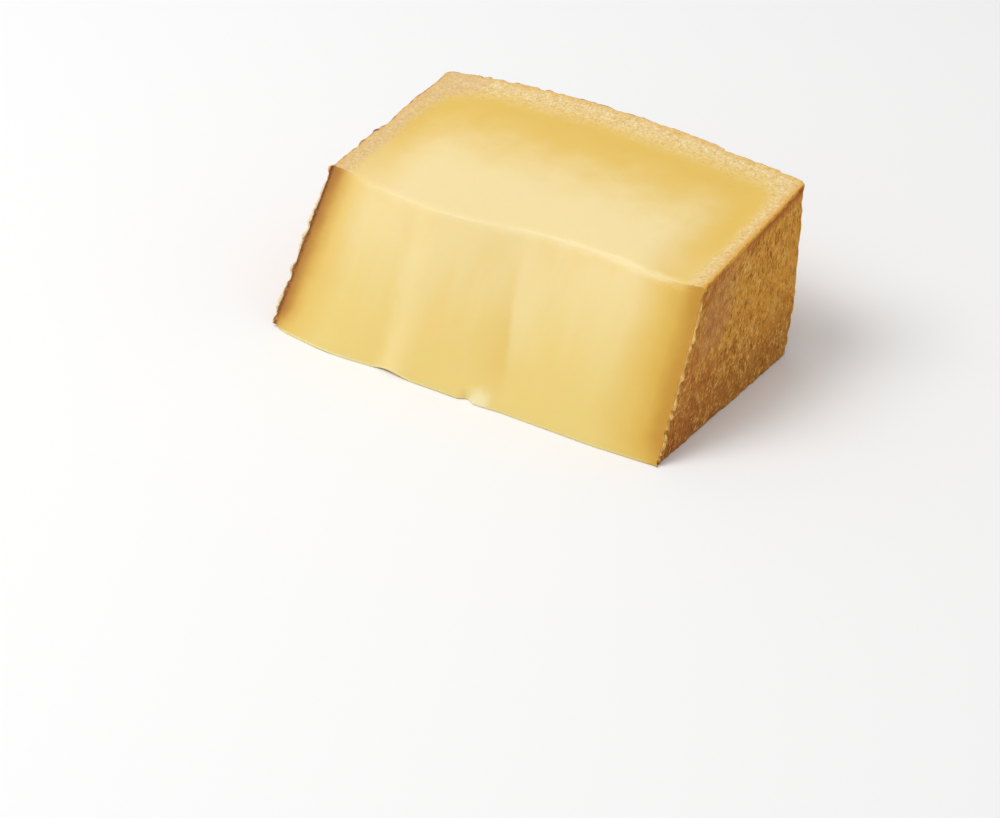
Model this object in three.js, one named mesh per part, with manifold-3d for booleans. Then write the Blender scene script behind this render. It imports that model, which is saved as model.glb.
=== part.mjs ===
// A block of hard mountain cheese, cut from a big round wheel and lying on one of its knife cuts.
// Millimetres. X runs from rind to rind along the wheel's axis, Y from the nose cut back to the
// wheel's rim, and Z is up. The origin is under the middle of the block, on the face it rests on.
import * as THREE from 'three';
import { mergeVertices } from 'three/addons/utils/BufferGeometryUtils.js';
import Module from 'manifold-3d';

// The wheel that the block comes from.
const WHEEL_HEIGHT = 120;      // from one flat rind to the other, where the block rests
const WHEEL_RADIUS = 290;      // to the edge of the rim
const RIM_BULGE = 4;           // how far the rim swells out between its two edges
const RIM_EDGE_ROUND = 3;      // how much of each edge of the rim is rounded away
const RIND_LEAN = 3.7;         // degrees that each flat rind leans in towards the top

// The knife cuts.
const BASE_DEPTH = 66.5;       // the bottom cut, from the nose to the edge of the rim
const RIM_LEAN = 19.5;         // degrees that the rim leans out where it meets the bottom cut
const NOSE_HEIGHT = 38;        // the front cut, from the bottom edge straight up to the top edge
const NOSE_LEAN = 33.5;        // degrees that the front cut leans back from upright
const NOSE_BULGE = 2;          // how far the front cut bows forward between the rinds
const TOP_SLOPE = 7.7;         // degrees that the top cut climbs from the nose to the rim
const KNIFE_EDGE_ROUND = 0.8;  // how much of each edge between two cuts is worn away
const KNIFE_OVERRUN = 12;      // how far the cuts run on past each flat rind

// How finely the curved faces are divided.
const WHEEL_STEPS = 360;
const RIM_STEPS = 24;
const EDGE_STEPS = 6;
const CUT_STEPS = 30;
const MERGE_DISTANCE = 1e-4;

const wasm = await Module();
wasm.setup();

function toSolid(geometry) {
  const bare = geometry.clone();
  bare.deleteAttribute('normal');
  bare.deleteAttribute('uv');
  const merged = mergeVertices(bare, MERGE_DISTANCE);
  return new wasm.Manifold(new wasm.Mesh({
    numProp: 3,
    vertProperties: new Float32Array(merged.attributes.position.array),
    triVerts: new Uint32Array(merged.index.array),
  }));
}

function toGeometry(solid) {
  const mesh = solid.getMesh();
  const geometry = new THREE.BufferGeometry();
  geometry.setAttribute('position', new THREE.BufferAttribute(mesh.vertProperties, 3));
  geometry.setIndex(new THREE.BufferAttribute(mesh.triVerts, 1));
  geometry.computeVertexNormals();
  return geometry;
}

// Lets a function move each vertex of a geometry.
function reshape(geometry, move) {
  const position = geometry.attributes.position;
  const point = new THREE.Vector3();
  for (let i = 0; i < position.count; i += 1) {
    point.fromBufferAttribute(position, i);
    move(point);
    position.setXYZ(i, point.x, point.y, point.z);
  }
  return geometry;
}

// The profile of the wheel, from its axis out along one flat rind, round the edge, over the swell
// of the rim and back along the other flat rind. Its x is the radius and its y is along the axis.
function wheelProfile() {
  const half = WHEEL_HEIGHT / 2;
  const edgeEnd = half - RIM_EDGE_ROUND;
  const edge = new THREE.QuadraticBezierCurve(
    new THREE.Vector2(WHEEL_RADIUS - RIM_EDGE_ROUND, -half),
    new THREE.Vector2(WHEEL_RADIUS, -half),
    new THREE.Vector2(WHEEL_RADIUS, -edgeEnd),
  ).getPoints(EDGE_STEPS);
  const rim = new THREE.QuadraticBezierCurve(
    new THREE.Vector2(WHEEL_RADIUS, -edgeEnd),
    new THREE.Vector2(WHEEL_RADIUS + 2 * RIM_BULGE, 0),
    new THREE.Vector2(WHEEL_RADIUS, edgeEnd),
  ).getPoints(RIM_STEPS);
  const farEdge = edge.map((point) => new THREE.Vector2(point.x, -point.y)).reverse();
  return [
    new THREE.Vector2(0, -half),
    ...edge,
    ...rim.slice(1, -1),
    ...farEdge,
    new THREE.Vector2(0, half),
  ];
}

// The whole wheel, laid with its axis along X, so that its rim meets the bottom cut where it should.
function wheel() {
  const geometry = new THREE.LatheGeometry(wheelProfile(), WHEEL_STEPS);
  geometry.rotateZ(-Math.PI / 2);
  const lean = THREE.MathUtils.degToRad(RIM_LEAN);
  geometry.translate(0, BASE_DEPTH - WHEEL_RADIUS * Math.cos(lean), WHEEL_RADIUS * Math.sin(lean));

  const taper = Math.tan(THREE.MathUtils.degToRad(RIND_LEAN)) / (WHEEL_HEIGHT / 2);
  reshape(geometry, (point) => {
    point.x *= 1 - taper * point.z;
  });
  return toSolid(geometry);
}

// The outline between the cuts, seen along X: the bottom, the nose and the top, open at the rim.
// Its x is the part's Y and its y is the part's Z.
function cutOutline(nose) {
  const far = BASE_DEPTH + WHEEL_RADIUS;
  const slope = Math.tan(THREE.MathUtils.degToRad(TOP_SLOPE));
  const corners = [
    new THREE.Vector2(0, 0),
    new THREE.Vector2(far, 0),
    new THREE.Vector2(far, NOSE_HEIGHT + slope * (far - nose)),
    new THREE.Vector2(nose, NOSE_HEIGHT),
  ];
  const outline = new THREE.Shape();
  corners.forEach((corner, i) => {
    const before = corners.at(i - 1);
    const after = corners[(i + 1) % corners.length];
    const start = before.clone().sub(corner).setLength(KNIFE_EDGE_ROUND).add(corner);
    const end = after.clone().sub(corner).setLength(KNIFE_EDGE_ROUND).add(corner);
    if (i === 0) outline.moveTo(start.x, start.y);
    else outline.lineTo(start.x, start.y);
    outline.quadraticCurveTo(corner.x, corner.y, end.x, end.y);
  });
  return outline;
}

// Everything that the knife leaves standing, run along X past both rinds. The nose bows forward.
function keptByTheKnife() {
  const nose = NOSE_HEIGHT * Math.tan(THREE.MathUtils.degToRad(NOSE_LEAN));
  const width = WHEEL_HEIGHT + 2 * KNIFE_OVERRUN;
  const geometry = new THREE.ExtrudeGeometry(cutOutline(nose), {
    depth: width,
    steps: CUT_STEPS,
    curveSegments: EDGE_STEPS,
    bevelEnabled: false,
  });
  geometry.translate(0, 0, -width / 2);
  const turned = new THREE.Matrix4().makeBasis(
    new THREE.Vector3(0, 1, 0),
    new THREE.Vector3(0, 0, 1),
    new THREE.Vector3(1, 0, 0),
  );
  geometry.applyMatrix4(turned);

  reshape(geometry, (point) => {
    const offCentre = point.x / (WHEEL_HEIGHT / 2);
    if (point.y < nose + KNIFE_EDGE_ROUND) point.y -= NOSE_BULGE * (1 - offCentre ** 2);
  });
  return toSolid(geometry);
}

const block = toGeometry(wheel().intersect(keptByTheKnife()));
block.computeBoundingBox();
const middle = block.boundingBox.getCenter(new THREE.Vector3());

const wedge = new THREE.Mesh(block, new THREE.MeshStandardMaterial({
  color: 0xecd08a,
  roughness: 0.55,
  metalness: 0,
}));
wedge.name = 'cheese_wedge';
wedge.position.set(-middle.x, -middle.y, -block.boundingBox.min.z);

const cheese = new THREE.Group();
cheese.add(wedge);

export default cheese;
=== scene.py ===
# %% [markdown]
# # A block of mountain cheese
# This lesson dresses a plain CAD block as a block of hard cheese, cut from a wheel and lying on one
# of its knife cuts. The block has three faces of rind (both ends and the back) and three faces that
# a knife made (top, nose and bottom). Everything that follows is in the CAD model's own frame: X
# from rind to rind, Y from the nose back to the rim, Z up, in metres.

# %% Load the frame
import math

import bpy
import numpy as np
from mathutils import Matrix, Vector, noise
from mathutils.bvhtree import BVHTree


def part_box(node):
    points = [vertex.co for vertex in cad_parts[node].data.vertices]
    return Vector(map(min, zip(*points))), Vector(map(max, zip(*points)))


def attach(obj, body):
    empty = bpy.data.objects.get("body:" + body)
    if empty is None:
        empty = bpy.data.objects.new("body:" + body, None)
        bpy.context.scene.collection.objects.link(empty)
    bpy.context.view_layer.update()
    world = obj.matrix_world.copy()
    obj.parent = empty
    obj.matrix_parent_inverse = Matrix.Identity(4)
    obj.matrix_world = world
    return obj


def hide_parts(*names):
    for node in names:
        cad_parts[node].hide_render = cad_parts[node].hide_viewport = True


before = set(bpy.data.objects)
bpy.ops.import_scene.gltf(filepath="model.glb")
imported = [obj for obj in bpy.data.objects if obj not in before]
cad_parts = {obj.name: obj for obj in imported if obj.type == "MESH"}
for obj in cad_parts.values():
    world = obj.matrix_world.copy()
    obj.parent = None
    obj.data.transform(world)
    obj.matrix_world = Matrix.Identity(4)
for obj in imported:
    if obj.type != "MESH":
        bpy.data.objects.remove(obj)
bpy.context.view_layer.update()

MM = 0.001
node_name = "cheese_wedge"
cad_low, cad_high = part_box(node_name)
half_width = cad_high.x / MM
print("CAD block, mm:", [round(side / MM, 1) for side in cad_high - cad_low])

# %% [markdown]
# ## Measure the CAD block
# The visible cheese has to sit exactly where the CAD block is, so its shape is measured and not
# typed in again. Rays are sent at the CAD solid from outside, as a probe would touch the real block.
# Two touches give a flat cut and three give the curved rim. The block bows a little from rind to
# rind, so each face is measured in the middle and again near one end.

# %% Touch the CAD solid with rays
FAR = 500.0
LOW, MIDDLE, HIGH = 6.0, 20.0, 34.0
FRONT_SPOT, BACK_SPOT = -5.0, 25.0
OFF_CENTRE = 0.8 * half_width

cad_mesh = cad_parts[node_name].data
cad_skin = BVHTree.FromPolygons(
    [v.co for v in cad_mesh.vertices], [p.vertices for p in cad_mesh.polygons]
)


def touch(start, direction):
    """The point where a ray first meets the CAD block, in millimetres."""
    found = cad_skin.ray_cast(Vector(start) * MM, Vector(direction))[0]
    return found / MM


print("nose met at", [round(v, 1) for v in touch((0, -FAR, MIDDLE), (0, 1, 0))], "mm")

# %% [markdown]
# The touches are turned into polynomials: a straight line for the nose and the top, and a parabola
# for the rim. The ends lean in a little towards the top, so they get a line as well.

# %% Fit lines to the touches
def measure(x):
    """The nose, rim and top at one distance from the middle, each as a polynomial."""
    nose = [touch((x, -FAR, z), (0, 1, 0)).y for z in (LOW, HIGH)]
    rim = [touch((x, FAR, z), (0, -1, 0)).y for z in (LOW, MIDDLE, HIGH)]
    top = [touch((x, y, FAR), (0, 0, -1)).z for y in (FRONT_SPOT, BACK_SPOT)]
    return (
        np.polyfit((LOW, HIGH), nose, 1),
        np.polyfit((LOW, MIDDLE, HIGH), rim, 2),
        np.polyfit((FRONT_SPOT, BACK_SPOT), top, 1),
    )


middle_cuts = measure(0.0)
outer_cuts = measure(OFF_CENTRE)
end_fit = np.polyfit((LOW, HIGH), [touch((FAR, 0, z), (-1, 0, 0)).x for z in (LOW, HIGH)], 1)
print("nose leans back", round(math.degrees(math.atan(middle_cuts[0][0])), 1), "degrees")
print("top climbs", round(math.degrees(math.atan(middle_cuts[2][0])), 1), "degrees")

# %% [markdown]
# ## A grid wrapped round a box
# Sculpted detail needs small, even faces. A voxel remesh would give them, but it blurs the knife's
# edges. Here the block starts as a straight box whose six sides are grids that share their border
# points, so the skin is closed. The grid lines crowd together near the edges, where the rind frays
# and the corners are worn, and spread out in the middle of each face. Positions in this straight
# box are kept in millimetres, because they also say how far any point is from the rind.

# %% Lay out the grid lines
COUNTS = (176, 116, 96)
CROWDING = 0.55


def lines(count):
    """Grid lines from 0 to 1 that crowd towards both ends."""
    even = np.linspace(0, 1, count + 1)
    return even - CROWDING * np.sin(2 * np.pi * even) / (2 * np.pi)


straight_height = cad_high.z / MM
straight_depth = middle_cuts[1][2] - middle_cuts[0][1]
straight_size = np.array([2 * half_width, straight_depth, straight_height])

number = np.full([n + 1 for n in COUNTS], -1)
on_skin = np.zeros(number.shape, bool)
on_skin[[0, -1], :, :] = True
on_skin[:, [0, -1], :] = True
on_skin[:, :, [0, -1]] = True
number[on_skin] = np.arange(on_skin.sum())
share = np.stack(
    [lines(n)[i] for n, i in zip(COUNTS, np.nonzero(on_skin))], axis=1
)
straight = share * straight_size
print("skin points:", len(straight))

# %% [markdown]
# ## Round the corners of the straight box
# Two kinds of rounding are on the real block. Every knife edge is worn by a fraction of a
# millimetre. The two upright edges between the ends and the back are the wheel's own rim edges, and
# they are rounded much more. So is the lower back edge, where the dry rind curls under. A bevel
# would cut across the grid, so the points of a square ring are pulled into a round one instead. One
# function does that for all edges of the box, and the other for two sides that are picked.

# %% Two ways to round
TINY = 1e-9


def rounded_box(points, size, radius):
    """Pulls points on a box's skin onto the same box with rounded edges."""
    inner = np.clip(points, radius, size - radius)
    out = points - inner
    length = np.linalg.norm(out, axis=1, keepdims=True)
    return inner + out * radius / np.maximum(length, TINY)


def round_corner(first, second, radius):
    """Turns a square corner at zero distance from both sides into a round one.
    first and second are distances from the two sides, and grow inwards."""
    a = np.clip(radius - first, 0, None)
    b = np.clip(radius - second, 0, None)
    inside = (a > 0) & (b > 0)
    square = np.maximum(a, b)
    ring = np.hypot(a, b)
    pull = np.where(inside, square / np.maximum(ring, TINY), 1)
    return np.where(inside, radius - a * pull, first), np.where(inside, radius - b * pull, second)


print("corner of a 1 mm round:", [round(float(v), 2) for v in round_corner(0.0, 0.0, 1.0)])

# %% [markdown]
# The knife edges come first. Then distances from an end, from the rim and from the board pick the
# edges that are rounded more, and are turned back into positions.

# %% Round the edges
KNIFE_ROUND = 0.5
RIM_ROUND = 2.4
FOOT_ROUND = 3.0

soft = rounded_box(straight, straight_size, KNIFE_ROUND)
x, y, z = soft.T
from_end = np.minimum(x, straight_size[0] - x)
from_rim = straight_depth - y
side = np.where(x < half_width, -1, 1)
from_end, from_rim = round_corner(from_end, from_rim, RIM_ROUND)
from_rim, z = round_corner(from_rim, z, FOOT_ROUND)
x = side * (half_width - from_end)
y = straight_depth - from_rim
print("rounded away, mm:", KNIFE_ROUND, "on knife edges and", RIM_ROUND, "on rim edges")

# %% [markdown]
# ## Lean the box into the block
# Each straight point now gets its real place. Its distance from the middle picks the measured nose,
# rim and top there. The upper edges are where two of those faces cross. The nose and the top are
# straight lines, so one sum gives their crossing. The rim is curved, so a few rounds of going from
# the rim to the top and back home in on theirs.

# %% Corners of the block at every point's distance from the middle
CROSSING_ROUNDS = 6

across = (x / OFF_CENTRE) ** 2


def spread(middle, outer):
    """Polynomials for every point, from the pair measured in the middle and near the end."""
    return middle[:, None] + (outer - middle)[:, None] * across


nose_fit, rim_fit, top_fit = (spread(m, o) for m, o in zip(middle_cuts, outer_cuts))
crown_front = (nose_fit[1] + nose_fit[0] * top_fit[1]) / (1 - nose_fit[0] * top_fit[0])
crown_back = rim_fit[2]
for _ in range(CROSSING_ROUNDS):
    crown_z = top_fit[0] * crown_back + top_fit[1]
    crown_back = (rim_fit[0] * crown_z + rim_fit[1]) * crown_z + rim_fit[2]
print("the top runs back for", round(float(np.mean(crown_back - crown_front)), 1), "mm")

# %% [markdown]
# A point's share of the depth and of the height then place it between the corners. The same rule
# works for every point, so the grid never tears. A sample of points is checked against the CAD block.

# %% Place every point on the block
CHECK_EVERY = 97

depth_share = y / straight_depth
height_share = z / straight_height

foot_y = nose_fit[1] + (rim_fit[2] - nose_fit[1]) * depth_share
crown_y = crown_front + (crown_back - crown_front) * depth_share
crown_z = top_fit[0] * crown_y + top_fit[1]
block_z = crown_z * height_share
rim_chord = rim_fit[2] + (crown_back - rim_fit[2]) * height_share
rim_curve = (rim_fit[0] * block_z + rim_fit[1]) * block_z + rim_fit[2]
block_y = foot_y + (crown_y - foot_y) * height_share + (rim_curve - rim_chord) * depth_share
block_x = x / half_width * (end_fit[0] * block_z + end_fit[1])
block = np.stack([block_x, block_y, block_z], axis=1)

gaps = [cad_skin.find_nearest(Vector(p) * MM)[3] / MM for p in block[::CHECK_EVERY]]
print("largest gap to the CAD block, mm:", round(max(gaps), 2))

# %% [markdown]
# ## Join the points into faces, and unfold them
# Each side of the box is a sheet of grid numbers. The same sheets give a tidy unfolding: six
# rectangles that don't overlap, with the two rind ends drawn larger than the rest because they carry
# the finest grain. Each chart says which two directions it spreads, how large and where.

# %% Six charts
CHART_GAP = 2.5
END_SCALE = 1.5
BOTTOM_SCALE = 0.8

wide, deep, tall = straight_size
second_column = wide + 2 * CHART_GAP
end_row = tall * END_SCALE + CHART_GAP
sheet_width = second_column + deep * END_SCALE + CHART_GAP
charts = [
    ("top", number[:, :, -1], (0, 1), False, 1.0, (CHART_GAP, CHART_GAP)),
    ("nose", number[:, 0, :], (0, 2), False, 1.0, (CHART_GAP, deep + 2 * CHART_GAP)),
    ("back", number[:, -1, :], (0, 2), True, 1.0, (CHART_GAP, deep + tall + 3 * CHART_GAP)),
    ("left", number[0, :, :], (1, 2), True, END_SCALE, (second_column, CHART_GAP)),
    ("right", number[-1, :, :], (1, 2), False, END_SCALE, (second_column, CHART_GAP + end_row)),
    ("bottom", number[:, :, 0], (0, 1), True, BOTTOM_SCALE, (second_column, CHART_GAP + 2 * end_row)),
]
print("charts fill a square of", round(float(sheet_width), 1), "mm")

# %% [markdown]
# Four neighbours on a sheet make a face. Sheets on opposite sides have to be wound in opposite
# directions, so that all faces point out.

# %% Six sheets of faces
def sheet_faces(sheet, flipped):
    """The four corners of every face on one sheet, wound so that it faces out."""
    corners = [sheet[:-1, :-1], sheet[1:, :-1], sheet[1:, 1:], sheet[:-1, 1:]]
    if flipped:
        corners.reverse()
    return np.stack([c.ravel() for c in corners], axis=1)


faces = []
unfolded = []
for name, sheet, axes, flipped, scale, place in charts:
    corners = sheet_faces(sheet, flipped)
    faces.append(corners)
    unfolded.append((straight[corners][:, :, axes] * scale + place) / sheet_width)
faces = np.concatenate(faces)
unfolded = np.concatenate(unfolded)
print("faces:", len(faces), "unfolded within", unfolded.min().round(3), "to", unfolded.max().round(3))

# %% [markdown]
# ## How far is a point from each side?
# Sculpting and colouring both need to know how far a point is from each of the six sides, and so
# how deep under the rind it lies. In the straight box these are plain differences.

# %% Masks and distances
from_left, from_nose, from_bottom = straight.T
from_right = wide - from_left
to_rim = deep - from_nose
to_top = tall - from_bottom
to_rind = np.minimum(np.minimum(from_left, from_right), to_rim)


def near(distance, reach):
    """1 on a side, fading to 0 at the given reach from it."""
    return np.clip(1 - distance / reach, 0, 1)


EDGE_REACH = 0.35
on_rind = near(to_rind, EDGE_REACH)
print("points on rind:", int(np.count_nonzero(on_rind)), "of", len(on_rind))

# %% [markdown]
# ## Sculpt the skin
# The rest is what a knife and a cellar do to cheese. Each effect moves the points by a small amount,
# along the direction that the surface faces or along an axis. Displacement modifiers could do it
# too, but here every amount can be tied to a distance. Smooth noise gives the slow swells, and noise
# that is stretched upright gives the wrinkles that cloth leaves on the rind.

# %% Helpers for sculpting
def outward(points):
    """The direction that the surface faces at each point."""
    a, b, c, d = (points[faces[:, i]] for i in range(4))
    area = np.cross(c - a, d - b)
    total = np.zeros_like(points)
    for i in range(4):
        np.add.at(total, faces[:, i], area)
    return total / np.linalg.norm(total, axis=1, keepdims=True)


def swell(size, seed, stretch=(1, 1, 1)):
    """Smooth noise between about -1 and 1, whose lumps are about size millimetres across."""
    scale = 1 / (size * np.array(stretch))
    shift = Vector((seed * 17.3, seed * 5.9, seed * 11.1))
    return np.array([noise.noise(Vector(p) + shift) for p in block * scale])


def hump(distance, reach):
    """1 where the distance is zero, falling smoothly on both sides to 0 at the reach."""
    return np.clip(1 - (distance / reach) ** 2, 0, 1) ** 2


# %% [markdown]
# ### The nose
# The front cut was made by slicing, so it isn't one plane. Its top edge swings forward on the left
# and back on the right. A sine wave that dies away towards both rinds and the board gives that swing.

# %% Swing the top of the nose
WAVE_REACH = 2.6
WAVE_LENGTH = 100.0
WAVE_START = -2.0
END_POWER = 6
HEIGHT_POWER = 1.3

wave = -WAVE_REACH * np.sin(2 * np.pi * (x - WAVE_START) / WAVE_LENGTH)
wave *= 1 - (x / half_width) ** END_POWER
forward = wave * height_share**HEIGHT_POWER
print("top edge swings by", round(float(np.ptp(forward)), 1), "mm")

# %% [markdown]
# A few soft ridges run down the nose where the knife paused and tilted. Each is a tent that stands
# on a slanting line. It says where it meets the bottom and top edges, how far it reaches to its left
# and right, and how high it stands, in millimetres. A height below zero is a valley.

# %% Raise the ridges of the nose
RIDGES = [
    (-55.0, -46.0, 4.0, 8.0, 0.30),
    (-18.0, -21.0, 5.0, 22.0, 0.40),
    (14.5, 4.5, 6.0, 18.0, -0.50),
    (44.0, 34.0, 14.0, 12.0, 0.25),
]
RIPPLE = 0.16
NOSE_REACH = 12.0

for foot_x, crown_x, left_reach, right_reach, height in RIDGES:
    beside = x - (foot_x + (crown_x - foot_x) * height_share)
    reach = np.where(beside < 0, left_reach, right_reach)
    forward += height * np.clip(1 - np.abs(beside) / reach, 0, 1)
forward += RIPPLE * swell(12, 1, (1, 1, 4))
block[:, 1] -= forward * near(from_nose, NOSE_REACH) ** 2
print("nose stands in and out by", round(float(np.ptp(forward[from_nose < EDGE_REACH])), 1), "mm")

# %% [markdown]
# ### The edge between nose and top
# A hard cheese crumbles where a blunt knife leaves it. Small chips are missing all along this edge,
# more of them towards the right. Each chip takes the edge down and back together.

# %% Chip the upper front edge
CHIP_DEPTH = 0.6
CHIP_REACH = 2.2
CHIP_BACK, CHIP_DOWN = 0.5, 0.8
FEW_CHIPS, FEW_UP_TO, MANY_AFTER = 0.3, -10.0, 20.0

to_front_edge = from_nose + to_top
chips = np.clip(swell(3.2, 5, (2, 1, 1)) + 0.4 * swell(1.4, 6) + 0.1, 0, 1)
rightward = np.clip((x - FEW_UP_TO) / (MANY_AFTER - FEW_UP_TO), 0, 1)
more_right = FEW_CHIPS + (1 - FEW_CHIPS) * rightward
chip = CHIP_DEPTH * chips * more_right * near(to_front_edge, CHIP_REACH)
block[:, 1] += CHIP_BACK * chip
block[:, 2] -= CHIP_DOWN * chip
print("deepest chip:", round(float(chip.max()), 2), "mm")

# %% [markdown]
# ### The foot of the nose
# The lower front edge doesn't touch the board all the way. It arches up a little left of the middle
# and has lost a flake just right of it, and it is fuller towards the left. All three are the same
# kind of mark, so one function makes them: a hump along the edge that fades back and up from it.

# %% Shape the lower front edge
def foot_mark(at, reach, size, back_reach, up_reach):
    """How far each point is moved by one mark on the lower front edge."""
    return size * hump(x - at, reach) * near(from_nose, back_reach) * near(from_bottom, up_reach)


UNEVEN_BY, UNEVEN_REACH = 0.25, 4.0
arch = foot_mark(at=-20.0, reach=7.0, size=0.9, back_reach=9.0, up_reach=14.0)
arch += UNEVEN_BY * np.abs(swell(11, 7)) * near(from_nose, UNEVEN_REACH) * near(from_bottom, UNEVEN_REACH)
flake = foot_mark(at=3.8, reach=2.4, size=1.3, back_reach=3.0, up_reach=3.5)
fuller = foot_mark(at=-42.0, reach=20.0, size=1.6, back_reach=8.0, up_reach=16.0)
block[:, 1] += flake - fuller
block[:, 2] += arch
print("front edge rises", round(float(arch.max()), 2), "mm off the board")

# %% [markdown]
# The left corner of that edge is worn round. The points near it move in, back and mostly up.

# %% Wear the lower left corner
CORNER_REACH, CORNER_WEAR = 4.0, 1.0
WORN_WAY = np.array([0.55, 0.25, 0.8])

corner = np.sqrt(from_left**2 + from_nose**2 + from_bottom**2)
worn = CORNER_WEAR * near(corner, CORNER_REACH)
block += worn[:, None] * WORN_WAY
print("corner worn by", round(float(worn.max()), 2), "mm")

# %% [markdown]
# ### The top
# The top cut is smooth, but it dries and sinks a little beside the rind, and the knife left slow
# waves in it.

# %% Shape the top
SINK_BY, SINK_AT, SINK_REACH = 0.35, 12.0, 10.0
TOP_WAVE, TOP_RIPPLE = 0.22, 0.05

sunk = SINK_BY * hump(to_rind - SINK_AT, SINK_REACH)
uneven_top = TOP_WAVE * swell(26, 8, (1.6, 1, 1)) + TOP_RIPPLE * swell(5, 9) - sunk
block[:, 2] += near(to_top, EDGE_REACH) * uneven_top
print("top lies between", round(float(uneven_top.min()), 2), "and", round(float(uneven_top.max()), 2), "mm")

# %% [markdown]
# ### The rind
# The rind swells slowly, is crumpled by the cloth it was wrapped in, and is pitted by the boards it
# lay on and by mites. Noise that is folded at zero, by taking its size without its sign, makes
# worm-like ridges among the rounder lumps. The points are pushed along the direction that the skin
# faces, and the amount is kept, so that the ridges can be painted with highlight and the hollows
# with shade.

# %% Shape the rind
SWELL_HEIGHT = 0.30
FOLD_HEIGHT = 0.36
PIT_DEPTH = 0.50
PITS_FROM = 0.3
WORM_LEVEL, WORM_RIDGES = 0.25, 1.2

slow = swell(17, 10)
folds = 0.6 * swell(1.9, 11, (1, 1, 1.6)) + 0.5 * swell(1.2, 12, (1, 1, 1.8))
folds += WORM_LEVEL - WORM_RIDGES * np.abs(swell(2.6, 18, (1, 1, 1.7)))
pits = np.clip(swell(1.7, 13, (1, 1, 1.4)) - PITS_FROM, 0, 1)
crumple = FOLD_HEIGHT * folds - PIT_DEPTH * pits
skin_out = outward(block)
block += (on_rind * (SWELL_HEIGHT * slow + crumple))[:, None] * skin_out
print("rind crumple, mm:", [round(float(v), 2) for v in np.percentile(crumple, (0, 10, 50, 90, 100))])

# %% [markdown]
# ### The rim's upper edge
# Where the top cut meets the rim, the rind tore in small bites. One longer bite is near the right
# end: it starts with a step and runs out slowly.

# %% Tear the upper rim edge
BITE_DEPTH, BITE_REACH = 0.7, 4.0
LONG_BITE_START, LONG_BITE_END, LONG_BITE_DEPTH = 33.0, 47.0, 1.3
DROP, DROP_REACH = 0.4, 2.0

to_rim_edge = to_rim + to_top
bites = BITE_DEPTH * (swell(3.6, 14) + 0.5 * swell(1.4, 15))
long_bite = LONG_BITE_DEPTH * np.where(
    x > LONG_BITE_START, np.clip((LONG_BITE_END - x) / (LONG_BITE_END - LONG_BITE_START), 0, 1), 0
)
block[:, 1] -= (bites + long_bite) * near(to_rim_edge, BITE_REACH)
block[:, 2] -= DROP * np.abs(bites) * near(to_rim_edge, DROP_REACH)
print("rim bites, mm:", round(float(bites.min()), 2), "to", round(float(bites.max()), 2))

# %% [markdown]
# The rim itself is a little lopsided, because the wheel sagged as it aged: fuller on the left and
# flatter on the right. That fades out towards the board and the nose.

# %% Make the rim lopsided
LOPSIDED_BY, LOPSIDED_REACH, LOPSIDED_REST = 1.1, 35.0, 0.4
LOPSIDED_FORWARD, LOPSIDED_DOWN = 25.0, 30.0

lopsided = LOPSIDED_BY * np.clip(x / LOPSIDED_REACH, -1, 1) + LOPSIDED_REST
block[:, 1] -= lopsided * near(to_rim, LOPSIDED_FORWARD) * near(to_top, LOPSIDED_DOWN)
print("rim moved by", round(float(-lopsided.max()), 2), "to", round(float(-lopsided.min()), 2), "mm")

# %% [markdown]
# The upper edge of the left end is nibbled too. One shallow bite is about half way back, and a dark
# crumb of rind has stayed on just in front of it.

# %% Nibble the upper left edge
LEFT_BITE_AT, LEFT_BITE_REACH, LEFT_BITE_DEPTH = 34.0, 6.0, 1.0
CRUMB_AT, CRUMB_REACH, CRUMB_HEIGHT = 27.0, 1.8, 0.7
NIBBLE_DEPTH, NIBBLE_REACH = 0.5, 3.0

nibble = NIBBLE_DEPTH * swell(3.0, 19)
nibble += LEFT_BITE_DEPTH * hump(from_nose - LEFT_BITE_AT, LEFT_BITE_REACH)
nibble -= CRUMB_HEIGHT * hump(from_nose - CRUMB_AT, CRUMB_REACH)
block[:, 0] += nibble * near(from_left + to_top, NIBBLE_REACH)
print("left edge nibbled by up to", round(float(nibble.max()), 2), "mm")

# %% [markdown]
# ### Curled lips
# The dry skin springs away from the paste where the nose was cut. It stands out as a thin, wavy lip
# along the left edge and as a crumbly crest along the right one, which breaks up more and spreads
# wider towards the board.

# %% Raise the lips along the nose
LEFT_LIP, LEFT_THICKNESS, LEFT_SPREAD = 1.15, 0.45, 1.5
RIGHT_CREST, RIGHT_THICKNESS = 0.8, 0.7
CREST_SPREAD, FOOT_SPREAD = 0.6, 2.2
FORWARD_SHARE, FORWARD_REACH = 0.7, 1.2

coarse_breaks = swell(3.0, 16)
fine_breaks = swell(1.0, 17)
left_breaks = np.clip(0.7 + 0.7 * coarse_breaks + 0.15 * fine_breaks, 0.1, 1.2)
left_lip = LEFT_LIP * left_breaks * near(from_left, LEFT_THICKNESS) * hump(from_nose - 0.2, LEFT_SPREAD)
right_breaks = np.clip(0.35 + coarse_breaks + (1.1 + 1.2 * (1 - height_share)) * fine_breaks, -0.2, 1.6)
crest_width = CREST_SPREAD + FOOT_SPREAD * (1 - height_share) ** 2
crest = RIGHT_CREST * right_breaks * near(from_right, RIGHT_THICKNESS) * hump(from_nose - 0.3, crest_width)
block[:, 0] += crest - left_lip
block[:, 1] -= FORWARD_SHARE * (crest + left_lip) * near(from_nose, FORWARD_REACH)
print("lips stand out by", round(float(left_lip.max()), 2), "and", round(float(crest.max()), 2), "mm")

# %% [markdown]
# Behind the left lip the paste has shrunk back and left a shallow groove.

# %% Press in the groove behind the left lip
GROOVE_DEPTH, GROOVE_AT, GROOVE_REACH = 0.4, 0.9, 0.7

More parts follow.
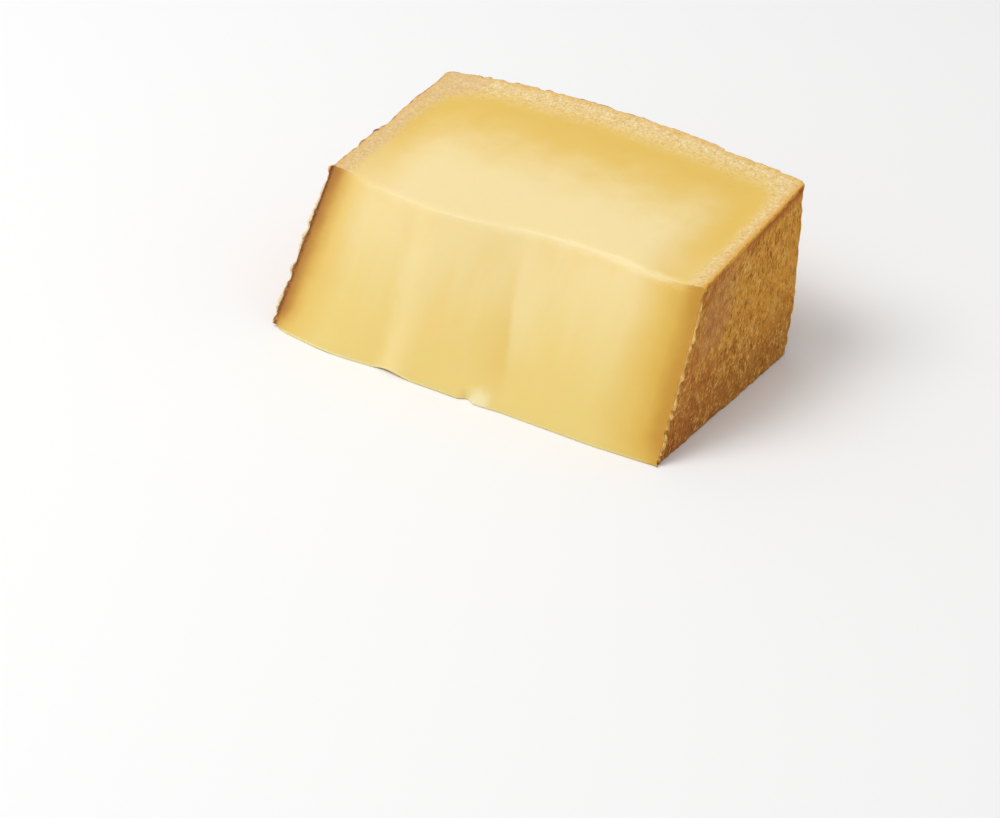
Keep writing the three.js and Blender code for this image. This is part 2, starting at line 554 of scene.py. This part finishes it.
groove = GROOVE_DEPTH * hump(from_left - GROOVE_AT, GROOVE_REACH) * near(from_nose, EDGE_REACH)
block[:, 1] += groove
print("groove", round(float(groove.max()), 2), "mm deep")

# %% [markdown]
# ## Make the mesh
# The points and faces become one mesh. The unfolding goes into a UV map. Each point keeps its place
# in the straight box as an attribute, so that the shader can tell how deep it is under the rind. It
# keeps how far the rind is crumpled and the lips are raised, too.

# %% Build the mesh
mesh = bpy.data.meshes.new("cheese_block")
mesh.from_pydata((block * MM).tolist(), [], faces.tolist())
mesh.validate()
mesh.shade_smooth()
sheet = mesh.uv_layers.new(name="OFBake")
sheet.uv.foreach_set("vector", unfolded.astype(np.float32).ravel())
kept_place = mesh.attributes.new("straight", "FLOAT_VECTOR", "POINT")
kept_place.data.foreach_set("vector", straight.astype(np.float32).ravel())
for name, amount in (("crumple", crumple), ("lip", crest + left_lip)):
    kept = mesh.attributes.new(name, "FLOAT", "POINT")
    kept.data.foreach_set("value", amount.astype(np.float32))
cheese = bpy.data.objects.new("cheese_block", mesh)
bpy.context.scene.collection.objects.link(cheese)
print("triangles:", 2 * len(mesh.polygons))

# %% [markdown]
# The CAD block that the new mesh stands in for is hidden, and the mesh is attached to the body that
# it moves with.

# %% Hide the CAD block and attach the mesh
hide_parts(node_name)
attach(cheese, "root")
print("replaces:", node_name)

# %% [markdown]
# ## Write shaders as sums
# A shader is arithmetic on what varies over a surface. Wiring it by hand hides the arithmetic, so a
# small class wraps one output of a node, and an ordinary sum on it adds the Math node. The reflected
# forms are there so that 1 - mask works, too.

# %% Signals
class Signal:
    """One output of a shader node, which can be used in sums."""

    def __init__(self, finish, socket):
        self.finish = finish
        self.socket = socket

    def __add__(self, other):
        return self.finish.maths("ADD", self, other)

    def __radd__(self, other):
        return self.finish.maths("ADD", other, self)

    def __sub__(self, other):
        return self.finish.maths("SUBTRACT", self, other)

    def __rsub__(self, other):
        return self.finish.maths("SUBTRACT", other, self)

    def __mul__(self, other):
        return self.finish.maths("MULTIPLY", self, other)

    def __rmul__(self, other):
        return self.finish.maths("MULTIPLY", other, self)


# %% [markdown]
# A second class is the material. It adds any other node from its type, its settings and the values
# or links of its sockets. On top of that it has three moves that are used all the time: mix two
# colours by a share, rise smoothly from 0 to 1 between two values, and fall from 1 to 0.

# %% Finishes
class Finish:
    """A material whose nodes are added one by one."""

    def __init__(self, name):
        self.material = bpy.data.materials.new(name)
        self.material.use_nodes = True
        self.tree = self.material.node_tree
        self.tree.nodes.clear()

    def node(self, kind, settings, inputs, output=0):
        """Adds one node: first its settings, then the values or links of its sockets."""
        made = self.tree.nodes.new(kind)
        for setting, value in settings.items():
            setattr(made, setting, value)
        for name, value in inputs.items():
            if isinstance(value, Signal):
                self.tree.links.new(value.socket, made.inputs[name])
            else:
                made.inputs[name].default_value = value
        return Signal(self, made.outputs[output]) if len(made.outputs) else None

    def maths(self, operation, *values):
        return self.node("ShaderNodeMath", {"operation": operation}, dict(enumerate(values)))

    def mix(self, share, first, second):
        """A colour that goes from the first to the second as the share goes from 0 to 1."""
        return self.node("ShaderNodeMix", {"data_type": "RGBA"}, {0: share, 6: first, 7: second}, 2)

    def rise(self, value, start, end):
        """0 up to the start, 1 from the end on, and a smooth climb between them."""
        return self.node(
            "ShaderNodeMapRange",
            {"interpolation_type": "SMOOTHSTEP"},
            {"Value": value, "From Min": start, "From Max": end},
        )

    def fall(self, value, start, end):
        return 1 - self.rise(value, start, end)


# %% [markdown]
# ## Where on the cheese?
# Every finish below is a matter of depth under the rind, so that comes first. The straight place of
# each point is split into distances from the six sides, and the least of the three that are rind is
# the depth.

# %% Distances in the shader
skin = Finish("cheese_skin")
place = skin.node("ShaderNodeAttribute", {"attribute_name": "straight"}, {}, 1)


def split(axis):
    """One coordinate of the straight place, in millimetres."""
    return skin.node("ShaderNodeSeparateXYZ", {}, {0: place}, axis)


left, front, low = split(0), split(1), split(2)
right = float(wide) - left
back = float(deep) - front
high = float(tall) - low
end = skin.maths("MINIMUM", left, right)
depth = skin.maths("MINIMUM", end, back)
print("shader works in a box of", [round(float(side), 1) for side in straight_size], "mm")

# %% [markdown]
# The golden zone under the rim is thicker than the one under the ends. So for that zone the distance
# to the rim counts for less, and a smooth minimum rounds the zone's corners.

# %% Smooth depth under the rind
RIM_COUNTS_FOR = 0.46
CORNER_BLEND = 9.0

zone = skin.maths("SMOOTH_MIN", left, right, CORNER_BLEND)
zone = skin.maths("SMOOTH_MIN", zone, back * RIM_COUNTS_FOR, CORNER_BLEND)
print("gold reaches", round(1 / RIM_COUNTS_FOR, 1), "times further in from the rim than from the ends")

# %% [markdown]
# ## Noise and paint
# Nothing on a cheese is even, so noise is used all through the finish. It is asked for by the size
# of its lumps in millimetres, because that can be judged, and it is read from the straight
# place, so that it runs on round every edge. Colours are asked for as they look on a screen, from 0
# to 255, and are turned into the linear light that a shader works with.

# %% Noise by its size, and colours by their look
def grain(size, stretch=(1, 1, 1), seed=0.0, detail=2.0, twist=0.0):
    """Noise from 0 to 1, whose lumps are about size millimetres across."""
    spot = skin.node(
        "ShaderNodeVectorMath",
        {"operation": "MULTIPLY_ADD"},
        {0: place, 1: [1 / (size * s) for s in stretch], 2: [seed * 7.1, seed * 3.3, seed * 5.7]},
    )
    inputs = {"Vector": spot, "Scale": 1.0, "Detail": detail, "Distortion": twist}
    return skin.node("ShaderNodeTexNoise", {}, inputs)


def paint(red, green, blue):
    """A colour given as it looks, 0 to 255, as the linear light that a shader works with."""
    return tuple(
        (v / 12.92 if v < 0.04045 else ((v + 0.055) / 1.055) ** 2.4)
        for v in (red / 255, green / 255, blue / 255)
    ) + (1.0,)


print("mid grey as light:", round(paint(128, 128, 128)[0], 3))

# %% [markdown]
# ## Colour of the cut faces
# Cheese dries from the outside in. Under the rind lies a thin brown line, then a beige, grainy band
# that has lost most of its water, then a golden band that fades into the pale paste. The borders
# wander, so noise is added to a depth before it is compared. These noises are made once, in
# millimetres and centred on zero.

# %% Noises that make borders wander
slow_wander = (grain(14, seed=1.0) - 0.5) * 7.0
wander = (grain(3.2, seed=2.0) - 0.5) * 3.0
fine_wander = (grain(0.9, seed=3.0) - 0.5) * 0.9
middle_wander = (grain(6.5, seed=16.0, detail=3.0) - 0.5) * 6.0
print("nodes so far:", len(skin.tree.nodes))

# %% [markdown]
# The gold of the top cut goes in from every rind. It is weaker towards the nose, where the paste was
# cut open more lately: most of all on the left, and a little on the right.

# %% Pale paste and gold of the top and bottom cuts
PALE = paint(242, 220, 160)
GOLD = paint(229, 191, 92)
GOLD_FULL, GOLD_GONE = 7.5, 25.0

gold_share = skin.fall(zone + slow_wander * 0.7 + middle_wander, GOLD_FULL, GOLD_GONE)
fresher = 0.5 * skin.fall(left, 8.0, 55.0) * skin.fall(front, 2.0, 44.0)
fresher = fresher + 0.3 * skin.rise(left, 70.0, 100.0) * skin.fall(front, 2.0, 30.0)
top_paint = skin.mix(gold_share * (1 - fresher), PALE, GOLD)
print("gold fades out about", GOLD_GONE, "mm under the ends")

# %% [markdown]
# The beige band is dry and grainy. Cream and tan flecks are laid over it where a fine noise is high
# or low. On the left end the knife dragged it sideways into pinkish streaks, and close to the rind
# it warms to gold.

# %% Flecks of the beige band
BEIGE = paint(232, 203, 138)
CREAM_FLECK = paint(248, 228, 184)
TAN_FLECK = paint(208, 166, 98)
PINK_FLECK = paint(226, 188, 148)
EDGE_GOLD = paint(228, 168, 62)

on_left = skin.fall(left, 6.0, 22.0)
fleck = grain(0.75, (1, 1.3, 1), seed=4.0, detail=4.0, twist=0.4)
blotch = grain(2.0, seed=14.0, detail=3.0)
drag = grain(1.0, (3.5, 1, 1), seed=11.0, detail=3.0)

clustered = fleck + blotch * 0.5
flecked_beige = skin.mix(skin.rise(clustered, 0.76, 0.94) * 0.8, BEIGE, CREAM_FLECK)
flecked_beige = skin.mix(skin.fall(clustered, 0.56, 0.74) * 0.7, flecked_beige, TAN_FLECK)
flecked_beige = skin.mix(on_left * 0.3, flecked_beige, TAN_FLECK)
flecked_beige = skin.mix(skin.rise(drag, 0.5, 0.62) * on_left * 0.6, flecked_beige, PINK_FLECK)
edge_glow = skin.fall(depth + wander * 1.4, 0.6, 4.2) * (0.4 - on_left * 0.25)
flecked_beige = skin.mix(edge_glow, flecked_beige, EDGE_GOLD)
print("nodes so far:", len(skin.tree.nodes))

# %% [markdown]
# The beige band goes over the gold, a little wider on the left. Right at the edge comes a golden
# line, mostly on the right, and then the broken brown line where the rind starts.

# %% Bands at the edge of the top and bottom cuts
BROWN = paint(158, 98, 40)
BEIGE_FULL, BEIGE_GONE = 3.0, 8.0

rightness = skin.rise(left, 70.0, 110.0)
beige_zone = zone + wander + slow_wander * 0.15 + fleck * 2.0 - on_left * 1.8
beige_share = skin.fall(beige_zone, BEIGE_FULL, BEIGE_GONE)
top_paint = skin.mix(beige_share, top_paint, flecked_beige)
golden_edge = skin.fall(end + fine_wander, 0.5, 1.9) * (0.15 + 0.65 * rightness)
top_paint = skin.mix(golden_edge, top_paint, EDGE_GOLD)
edge_breaks = skin.rise(blotch, 0.42, 0.6)
brown_line = skin.fall(depth + fine_wander - on_left * 0.4, 0.1, 0.8)
top_paint = skin.mix(brown_line * edge_breaks * 0.8, top_paint, BROWN)
print("beige fades out about", BEIGE_GONE, "mm under the ends")

# %% [markdown]
# The nose was cut more lately, so it has no grainy band. Its paste is pale and a little deeper in
# colour near the board. Faint upright streaks follow the knife, and warm clouds lie between them.

# %% Paste of the nose
NOSE_PALE = paint(240, 217, 153)
NOSE_DEEP = paint(233, 206, 122)
NOSE_WARM = paint(240, 206, 128)

streaks = grain(5.0, (1, 1, 9), seed=5.0)
clouds = grain(13.0, (1, 1, 1.6), seed=17.0)
nose_paint = skin.mix(skin.rise(high + streaks * 16.0, 10.0, 46.0), NOSE_PALE, NOSE_DEEP)
nose_paint = skin.mix(skin.rise(clouds + streaks * 0.3, 0.60, 0.86) * 0.5, nose_paint, NOSE_WARM)
print("nodes so far:", len(skin.tree.nodes))

# %% [markdown]
# Under the rind the nose goes through gold and tan to brown. The bands are browner and darker on the
# left than on the right, so each colour is mixed from a left one and a right one. The gold reaches
# further in from the right-hand rind than from the left one.

# %% Bands of the nose
NOSE_GOLD_AND_SHADE = paint(228, 190, 92)
NOSE_TAN = paint(204, 152, 58)
NOSE_OLIVE = paint(210, 164, 54)
NOSE_RUST = paint(188, 122, 34)
NOSE_BROWN = paint(158, 96, 42)
LEFT_COUNTS_FOR, RIGHT_COUNTS_FOR = 0.84, 0.69

nose_zone = skin.maths("MINIMUM", left * LEFT_COUNTS_FOR, right * RIGHT_COUNTS_FOR)
nose_zone = nose_zone + slow_wander * 0.35 + wander * 0.4 + skin.fall(low, 0.0, 7.0) * 2.0
leftness = skin.fall(left, 30.0, 60.0)
tan = skin.mix(leftness, NOSE_OLIVE, NOSE_TAN)
brown = skin.mix(leftness, NOSE_RUST, NOSE_BROWN)
nose_paint = skin.mix(skin.fall(nose_zone, 5.0, 15.5) * (1 - leftness * 0.3), nose_paint, NOSE_GOLD_AND_SHADE)
nose_paint = skin.mix(skin.fall(nose_zone, 1.4, 8.2) * (0.72 + leftness * 0.28), nose_paint, tan)
nose_paint = skin.mix(skin.fall(nose_zone, 0.3, 4.8) * (0.55 + leftness * 0.22), nose_paint, brown)
print("nodes so far:", len(skin.tree.nodes))

# %% [markdown]
# Two thin lines finish the nose: a dark, broken line of painted shadow along the left rind, just
# inside the lip, and a painted highlight along the foot, where the lower edge catches the light.

# %% Painted shadow and highlight along the nose
LIP_SHADOW = paint(112, 62, 34)
SMEAR_AND_HIGHLIGHT = paint(246, 226, 170)

# Painted shadow just inside the left lip, broken here and there.
lip_shadow_share = skin.fall(left + fine_wander * 0.8, 0.3, 0.9) * skin.rise(blotch, 0.35, 0.5)
nose_paint = skin.mix(lip_shadow_share * 0.8, nose_paint, LIP_SHADOW)
# Painted highlight along the foot of the nose.
foot_highlight = skin.fall(low + fine_wander, 0.3, 1.1) * (0.35 + leftness * 0.5)
nose_paint = skin.mix(foot_highlight * skin.rise(end, 1.0, 5.0), nose_paint, SMEAR_AND_HIGHLIGHT)
print("nodes so far:", len(skin.tree.nodes))

# %% [markdown]
# Where the knife paused, the paste was creased. On the left of that slanting crease the face gets
# painted shade, most of all low down. On its right it gets painted light, most of all high up. A
# distance beside the crease gives both.

# %% Painted shade and light beside the crease
CREASE_FOOT, CREASE_LEAN = 74.5, -0.22

beside = left - low * CREASE_LEAN - CREASE_FOOT + fine_wander + slow_wander * 0.3
shaded = skin.rise(beside, -13.0, -1.0) * skin.fall(beside, -1.2, 1.2)
shaded = shaded * skin.rise(high, 8.0, 30.0) * skin.rise(low, 3.0, 12.0)
lit = skin.rise(beside, -1.2, 1.2) * skin.fall(beside, 1.2, 13.0)
lit = lit * skin.rise(high, 4.0, 12.0) * skin.rise(low, 8.0, 26.0)
# Painted shade left of the crease, in the nose's gold, and painted light right of it.
nose_paint = skin.mix(shaded * 0.42, nose_paint, NOSE_GOLD_AND_SHADE)
nose_paint = skin.mix(lit * 0.35, nose_paint, SMEAR_AND_HIGHLIGHT)
print("nodes so far:", len(skin.tree.nodes))

# %% [markdown]
# Further left the knife left a pale smear that runs down the whole face. Where the flake fell from
# the foot of the nose, a painted glow makes a light, glassy spot, as if light shone through the
# thin paste.

# %% The smear, and the painted glow of the glassy spot
SMEAR_START, SMEAR_MIDDLE, SMEAR_END, SMEAR_LEAN = 34.0, 40.0, 48.0, 0.12
GLASSY_SPOT = (67.5, 0.0, 1.0)
GLASSY_GLOW = paint(250, 242, 204)


def from_place(spot):
    """The distance of each point from one spot of the straight box, in millimetres."""
    return skin.node("ShaderNodeVectorMath", {"operation": "DISTANCE"}, {0: place, 1: spot}, 1)


along_smear = left + low * SMEAR_LEAN + wander
smear = skin.rise(along_smear, SMEAR_START, SMEAR_MIDDLE)
smear = smear * skin.fall(along_smear, SMEAR_MIDDLE, SMEAR_END)
nose_paint = skin.mix(smear * 0.35, nose_paint, SMEAR_AND_HIGHLIGHT)
# Painted glow of a light, glassy spot by the fallen flake.
glassy_glow = skin.fall(from_place(GLASSY_SPOT) + wander, 0.6, 5.2)
nose_paint = skin.mix(glassy_glow * 0.55, nose_paint, GLASSY_GLOW)
print("glassy spot", GLASSY_SPOT[0], "mm from the left end")

# %% [markdown]
# ## Colour of the rind
# The rind is the cheese's own dried skin: golden brown, and never the same all over. Slow noise lays
# redder patches over it, as washing leaves them. It is more golden towards the rim.

# %% Broad patches of the rind
RIND = paint(218, 146, 46)
RIND_RED = paint(212, 128, 42)
RIND_GOLD = paint(230, 158, 42)

patch = grain(9.0, seed=7.0)
broad = grain(24.0, seed=15.0)
rind_paint = skin.mix(skin.rise(patch + broad * 0.5, 0.62, 0.84), RIND_RED, RIND)
rind_paint = skin.mix(skin.rise(front + broad * 40.0 + patch * 14.0, 40.0, 72.0), rind_paint, RIND_GOLD)
print("nodes so far:", len(skin.tree.nodes))

# %% [markdown]
# Pale, dusty mould lies here and there on the upper part of the left end and of the rim, and one
# patch of it sits high up near the nose on the right end. Low down, the rind is darker: partly its
# own tone and partly painted shade near the board.

# %% Dusty parts of the rind, and painted shade low down
RIND_DUSTY = paint(214, 148, 80)
RIND_LOW_SHADE = paint(172, 102, 22)
DUST_SPOT = (float(wide), 16.0, float(tall) - 13.0)

dusty = skin.rise(broad * 0.7 + patch * 0.6, 0.62, 0.78) * skin.rise(low, 8.0, 26.0) * (1 - rightness)
dusty = dusty * 0.5 + skin.fall(from_place(DUST_SPOT) + slow_wander, 6.0, 15.0) * 0.6
rind_paint = skin.mix(dusty, rind_paint, RIND_DUSTY)
# Darker low down: painted shade near the board, and partly the rind's own tone.
rind_paint = skin.mix(skin.fall(low + patch * 16.0, 8.0, 36.0) * 0.7, rind_paint, RIND_LOW_SHADE)
print("dusty patch at", [round(side, 1) for side in DUST_SPOT], "mm")

# %% [markdown]
# The ridges get a painted highlight and the hollows painted shade, so that the relief shows in the
# soft light. The crumpling that was sculpted says where they are, and the cloth's own finer grain,
# which is too fine for the mesh, is added to it. Dust softens the contrast.

# %% Painted highlight and shade on the ridges and hollows of the rind
RIDGE_HIGHLIGHT = paint(255, 206, 114)
HOLLOW_SHADE = paint(148, 76, 10)

crumpled = skin.node("ShaderNodeAttribute", {"attribute_name": "crumple"}, {}, 2)
cloth = grain(0.68, (1, 1, 1.9), seed=6.0, detail=5.0, twist=1.0)
pitted = grain(2.4, (1, 1, 1.5), seed=8.0, detail=3.0, twist=0.6)
uneven = crumpled * 0.6 + (cloth - 0.5) * 1.7 + (pitted - 0.5) * 0.4
crisp = (1 - dusty * 0.6) * (0.7 + 0.3 * skin.rise(broad + patch * 0.5, 0.58, 0.86))
# Painted highlight on the ridges and painted shade in the hollows of the rind's relief.
rind_paint = skin.mix(skin.rise(uneven, 0.04, 0.27) * crisp * 0.8, rind_paint, RIDGE_HIGHLIGHT)
rind_paint = skin.mix(skin.fall(uneven, -0.27, -0.03) * crisp * 0.85, rind_paint, HOLLOW_SHADE)
print("nodes so far:", len(skin.tree.nodes))

# %% [markdown]
# Just under the upper edge the rind gets a red-brown painted shadow, more so towards the rim, with a
# thin golden line above it on the right.

# %% Painted shadow under the upper edge of the rind
UNDER_EDGE_SHADOW = paint(186, 94, 14)

# Red-brown painted shadow just under the upper edge.
under_edge_shadow = skin.fall(high + wander * 0.7, 0.8, 3.8) * (0.2 + 0.7 * skin.rise(front, 12.0, 45.0))
rind_paint = skin.mix(under_edge_shadow, rind_paint, UNDER_EDGE_SHADOW)
golden_line = skin.fall(high + fine_wander, 0.2, 0.9) * (0.2 + 0.6 * rightness)
rind_paint = skin.mix(golden_line, rind_paint, EDGE_GOLD)
print("nodes so far:", len(skin.tree.nodes))

# %% [markdown]
# Where the nose tore the rind, its inside shows: cream on the left lip and golden on the right
# crest. The torn strip is thin, so its border follows fine noise, and it fades out low down. What
# the sculpting raised most is the palest.

# %% Torn edge of the rind
CREST = paint(254, 206, 118)
LIP = paint(250, 228, 186)

raised = skin.node("ShaderNodeAttribute", {"attribute_name": "lip"}, {}, 2)
lip_paint = skin.mix(skin.fall(left, 2.0, 6.0), CREST, LIP)
torn = skin.fall(front + fine_wander * 1.4 + wander * 0.25, 0.35, 1.1) * skin.rise(high, 1.0, 6.0)
torn = torn * skin.rise(low + blotch * 20.0, 8.0, 16.0)
rind_paint = skin.mix(torn * 0.8, rind_paint, lip_paint)
patchy = 0.35 + 0.65 * skin.rise(blotch, 0.42, 0.58)
rind_paint = skin.mix(skin.rise(raised, 0.25, 0.8) * patchy * 0.85, rind_paint, lip_paint)
print("nodes so far:", len(skin.tree.nodes))

# %% [markdown]
# ## One finish for the whole skin
# Masks made from the distances say which of the three colours a point takes. Three materials with
# their own faces would need a hard border, but masks let the rind grade into the paste, as it does.
# The chipped edge between nose and top is paler than either: partly fresh crumbs, partly a painted
# highlight along the edge.

# %% Colour of the cuts
CRUMB_AND_HIGHLIGHT = paint(249, 232, 184)

on_face = skin.fall(front, 0.05, 0.35)
cut_paint = skin.mix(on_face, top_paint, nose_paint)
# A pale strip along the upper front edge: fresh crumbs and a painted highlight.
crumbs_and_highlight = skin.fall(front + high + wander * 0.8 + fine_wander, 0.2, 2.6)
crumbs_and_highlight = crumbs_and_highlight * skin.rise(end, 3.0, 14.0) * (0.2 + 0.3 * skin.rise(left, 45.0, 85.0))
cut_paint = skin.mix(crumbs_and_highlight, cut_paint, CRUMB_AND_HIGHLIGHT)
cut_paint = skin.mix(skin.rise(raised, 0.2, 0.7) * 0.7, cut_paint, lip_paint)
print("nodes so far:", len(skin.tree.nodes))

# %% [markdown]
# The rind starts a fraction of a millimetre from the edge, and a little further in on the left lip.
# The dark crumb on the upper left edge goes over everything.

# %% Colour of the whole skin
CRUMB_DARK = paint(84, 56, 34)
CRUMB_SPOT = (0.0, CRUMB_AT, float(tall))

lip_width = on_face * skin.fall(left, 1.0, 2.0) * skin.rise(blotch, 0.3, 0.6) * 0.22
on_cut = skin.rise(depth - lip_width, 0.05, 0.28)
colour = skin.mix(on_cut, rind_paint, cut_paint)
dark_crumb = skin.fall(from_place(CRUMB_SPOT) + fine_wander, 0.6, 1.7)
colour = skin.mix(dark_crumb * 0.85, colour, CRUMB_DARK)
print("nodes so far:", len(skin.tree.nodes))

# %% [markdown]
# Roughness and a bump follow the same masks. The rind is dull and coarse, the grainy band is finely
# rough, and the paste has a faint waxy gloss.

# %% Gloss and relief
RIND_ROUGHNESS = 0.78
PASTE_SMOOTHER, BAND_ROUGHER = 0.28, 0.15

roughness = RIND_ROUGHNESS - on_cut * PASTE_SMOOTHER + on_cut * beige_share * BAND_ROUGHER
rind_height = cloth * 0.8 + pitted * 0.5 + grain(0.4, seed=9.0) * 0.12
cut_height = beige_share * (1 - on_face) * fleck * 0.3 + grain(1.4, seed=10.0) * 0.03
height = rind_height + on_cut * (cut_height - rind_height)
bump = skin.node("ShaderNodeBump", {}, {"Strength": 1.0, "Distance": MM, "Height": height})
print("nodes so far:", len(skin.tree.nodes))

# %% [markdown]
# Cheese lets light in for a millimetre or so, red furthest, and that softens every shadow on it. A
# little subsurface scattering does this. What is the same all over is set on the shader itself.

# %% The shader
PASTE_GLOW = 0.22
GLOW_DEPTH = 4 * MM

shader = skin.node(
    "ShaderNodeBsdfPrincipled",
    {"subsurface_method": "RANDOM_WALK"},
    {
        "Base Color": colour,
        "Roughness": roughness,
        "Normal": bump,
        "IOR": 1.45,
        "Specular IOR Level": 0.4,
        "Subsurface Weight": PASTE_GLOW,
        "Subsurface Radius": (1.0, 0.55, 0.2),
        "Subsurface Scale": GLOW_DEPTH,
    },
)
skin.node("ShaderNodeOutputMaterial", {}, {"Surface": shader})
mesh.materials.append(skin.material)
print("nodes in the finish:", len(skin.tree.nodes))

# %% [markdown]
# ## Camera
# The camera looks down at the block from the front and a little from the right, from about two
# thirds of a metre away, through a lens as long as a product photographer would use.

# %% Camera
AZIMUTH, ELEVATION = math.radians(34.35), math.radians(32.55)
AIM = Vector((30.9, -65.9, 20.0)) * MM
DISTANCE = 0.668
LENS_LENGTH, SENSOR_WIDTH = 100, 36

camera_data = bpy.data.cameras.new("camera")
camera_data.lens = LENS_LENGTH
camera_data.sensor_width = SENSOR_WIDTH
camera_data.clip_start = 0.01
camera_data.clip_end = 20
camera = bpy.data.objects.new("camera", camera_data)
bpy.context.scene.collection.objects.link(camera)
bpy.context.scene.camera = camera

back_way = Vector((
    math.sin(AZIMUTH) * math.cos(ELEVATION),
    -math.cos(AZIMUTH) * math.cos(ELEVATION),
    math.sin(ELEVATION),
))
camera.location = AIM + DISTANCE * back_way
camera.rotation_euler = back_way.to_track_quat("Z", "Y").to_euler()
print("camera at, m:", [round(v, 3) for v in camera.location])

# %% [markdown]
# ## Floor
# The block stands on a plain pale floor. It is much bigger than the block, so that no edge of it
# shows.

# %% Floor
FLOOR_TONE = 0.93
FLOOR_REACH = 6.0

floor_mesh = bpy.data.meshes.new("floor")
floor_corners = [(-FLOOR_REACH, -FLOOR_REACH, 0), (FLOOR_REACH, -FLOOR_REACH, 0)]
floor_corners += [(FLOOR_REACH, FLOOR_REACH, 0), (-FLOOR_REACH, FLOOR_REACH, 0)]
floor_mesh.from_pydata(floor_corners, [], [(0, 1, 2, 3)])
floor = bpy.data.objects.new("floor", floor_mesh)
bpy.context.scene.collection.objects.link(floor)
board = Finish("plain_floor")
matt = board.node(
    "ShaderNodeBsdfPrincipled",
    {},
    {"Base Color": (FLOOR_TONE, FLOOR_TONE, FLOOR_TONE, 1.0), "Roughness": 0.7},
)
board.node("ShaderNodeOutputMaterial", {}, {"Surface": matt})
floor_mesh.materials.append(board.material)
print("floor is", 2 * FLOOR_REACH, "m across")

# %% [markdown]
# ## Light
# An even white sky fills every shadow. One big soft lamp, up on the left and in front, leaves the
# right-hand rind in gentle shade.

# %% Sky and lamp
SKY_STRENGTH = 0.60
KEY_POWER = 9.2
KEY_SIZE = 0.8
KEY_PLACE = (-0.55, -0.4, 1.1)

world = bpy.data.worlds.new("world")
world.use_nodes = True
world.node_tree.nodes["Background"].inputs["Color"].default_value = (1, 1, 1, 1)
world.node_tree.nodes["Background"].inputs["Strength"].default_value = SKY_STRENGTH
bpy.context.scene.world = world

key_data = bpy.data.lights.new("key", "AREA")
key_data.energy = KEY_POWER
key_data.size = KEY_SIZE
key = bpy.data.objects.new("key", key_data)
bpy.context.scene.collection.objects.link(key)
key.location = KEY_PLACE
key.rotation_euler = key.location.to_track_quat("Z", "Y").to_euler()
bpy.context.scene.view_settings.view_transform = "Standard"
print("lamp is", round(key.location.length, 2), "m away")
